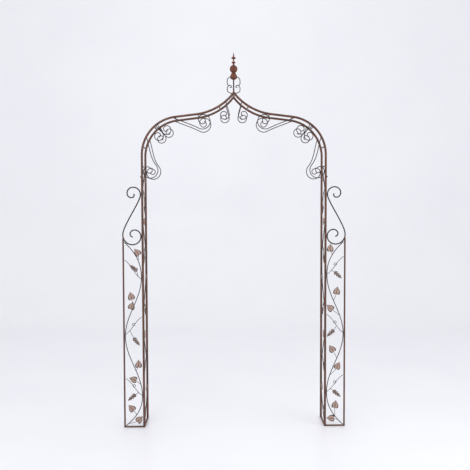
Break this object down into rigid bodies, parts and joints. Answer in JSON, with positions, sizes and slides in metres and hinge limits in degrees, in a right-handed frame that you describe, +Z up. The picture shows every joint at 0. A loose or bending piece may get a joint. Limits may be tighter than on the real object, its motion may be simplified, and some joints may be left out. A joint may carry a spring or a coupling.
{
  "type": "metal trellis arch",
  "caption": "Walk-through garden rose arch with an onion-shaped top, leaf-work sides and wings, hanging scrolls and a ball finial, in brown coated steel.",
  "frame": {"origin": "on the ground, half way between the left and right posts and between the front and back frames", "axes": "+X to the right seen from the front, +Y from the front frame to the back frame, +Z up"},
  "size_m": [1.595, 0.216, 2.6985],
  "materials": {
    "frame_tube": "satin rust-brown powder coat, worn a little lighter on top of curves",
    "scroll_rod": "satin rust-brown powder coat on bent rod",
    "leafwork": "satin rust-brown powder coat on stamped leaves, berries and rod",
    "finial": "redder rust-brown coat, slightly mottled",
    "bolt": "dark brown touched-up steel"
  },
  "bodies": {
    "root": {"left_front_post": "frame_tube", "left_front_arch_tube": "frame_tube", "left_front_joint_bolt": "bolt", "left_front_ridge_scroll": "scroll_rod", "left_front_long_scroll": "scroll_rod", "left_front_shoulder_scroll": "scroll_rod", "left_front_tear_scroll": "scroll_rod", "left_back_post": "frame_tube", "left_back_arch_tube": "frame_tube", "left_back_joint_bolt": "bolt", "left_back_ridge_scroll": "scroll_rod", "left_back_long_scroll": "scroll_rod", "left_back_shoulder_scroll": "scroll_rod", "left_back_tear_scroll": "scroll_rod", "left_rung_1": "frame_tube", "left_rung_2": "frame_tube", "left_rung_3": "frame_tube", "left_rung_4": "frame_tube", "left_rung_5": "frame_tube", "left_side_top_bar": "frame_tube", "left_side_base_bar": "frame_tube", "left_side_leafwork": "leafwork", "left_wing_post": "frame_tube", "left_wing_base_bar": "frame_tube", "left_wing_scroll": "scroll_rod", "left_wing_leafwork": "leafwork", "right_front_post": "frame_tube", "right_front_arch_tube": "frame_tube", "right_front_joint_bolt": "bolt", "right_front_ridge_scroll": "scroll_rod", "right_front_long_scroll": "scroll_rod", "right_front_shoulder_scroll": "scroll_rod", "right_front_tear_scroll": "scroll_rod", "right_back_post": "frame_tube", "right_back_arch_tube": "frame_tube", "right_back_joint_bolt": "bolt", "right_back_ridge_scroll": "scroll_rod", "right_back_long_scroll": "scroll_rod", "right_back_shoulder_scroll": "scroll_rod", "right_back_tear_scroll": "scroll_rod", "right_rung_1": "frame_tube", "right_rung_2": "frame_tube", "right_rung_3": "frame_tube", "right_rung_4": "frame_tube", "right_rung_5": "frame_tube", "right_side_top_bar": "frame_tube", "right_side_base_bar": "frame_tube", "right_side_leafwork": "leafwork", "right_wing_post": "frame_tube", "right_wing_base_bar": "frame_tube", "right_wing_scroll": "scroll_rod", "right_wing_leafwork": "leafwork", "ridge_bar": "frame_tube", "finial_stem": "frame_tube", "finial_ball": "finial", "finial_spike": "finial", "left_cage_scroll": "scroll_rod", "front_cage_scroll": "scroll_rod", "right_cage_scroll": "scroll_rod", "back_cage_scroll": "scroll_rod"}
  },
  "joints": []
}
